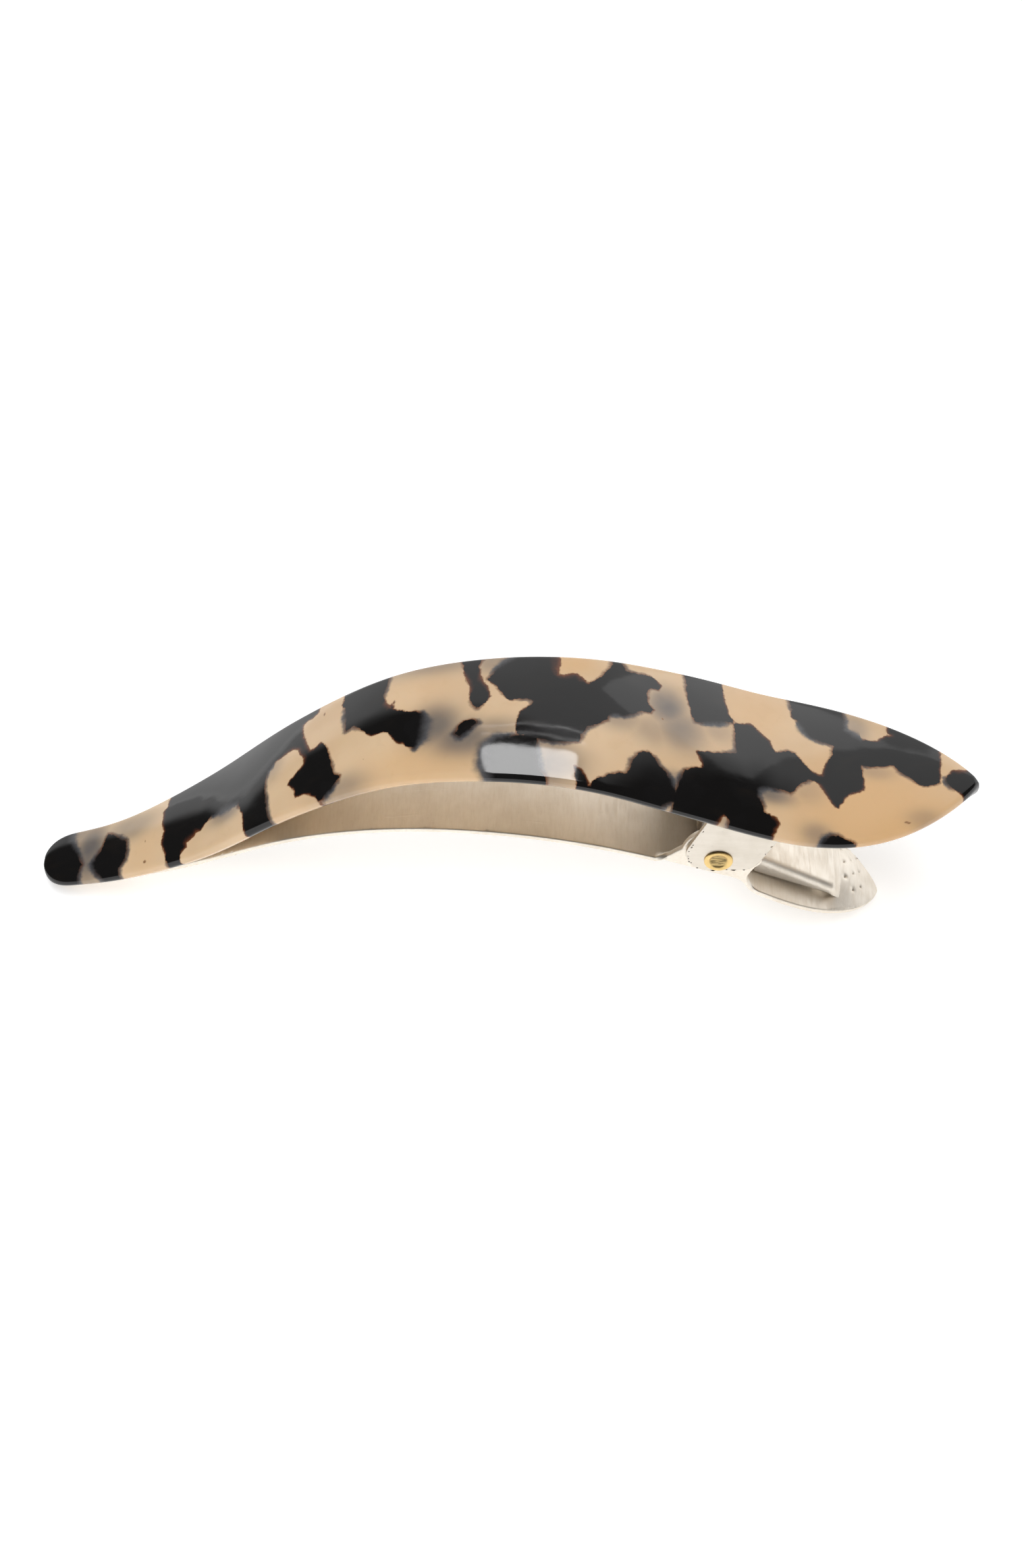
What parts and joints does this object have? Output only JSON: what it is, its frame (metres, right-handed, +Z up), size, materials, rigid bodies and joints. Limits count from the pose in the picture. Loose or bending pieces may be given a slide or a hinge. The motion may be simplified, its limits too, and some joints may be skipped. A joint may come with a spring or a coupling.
{
  "type": "beak hair clip",
  "caption": "Long arched beak hair clip: mottled acetate cover over a sprung curved steel jaw, hinged on a hollow rivet, with a leaf-shaped thumb plate.",
  "frame": {"origin": "under the middle of the clip's length, on the plane that its tail and its thumb plate lie on", "axes": "+X along the clip from the narrow tail to the pointed head, +Y across it, +Z up out of the arched cover"},
  "size_m": [0.1206, 0.0234, 0.0347],
  "materials": {
    "cover_acetate": "polished blonde tortoiseshell acetate: peach-cream with near-black, brown-edged patches",
    "nickel_plate": "satin nickel plating, warm tint",
    "rivet_brass": "bright yellow brass",
    "spring_steel": "plain hardened spring steel"
  },
  "bodies": {
    "cover": {"cover": "cover_acetate", "hinge_bracket": "nickel_plate", "bracket_screw_near": "nickel_plate", "bracket_screw_far": "nickel_plate", "hinge_pin": "rivet_brass", "leaf_spring": "spring_steel"},
    "jaw": {"lower_jaw": "nickel_plate"}
  },
  "joints": [
    {"name": "jaw_hinge", "type": "hinge", "parent": "cover", "child": "jaw", "pos_m": [0.02772, 0, 0.0174], "axis": [0, -1, 0], "range_deg": [0, 30], "stiffness_Nm_per_rad": 0.3, "springref_deg": -20.05, "deforming": ["leaf_spring"]}
  ]
}
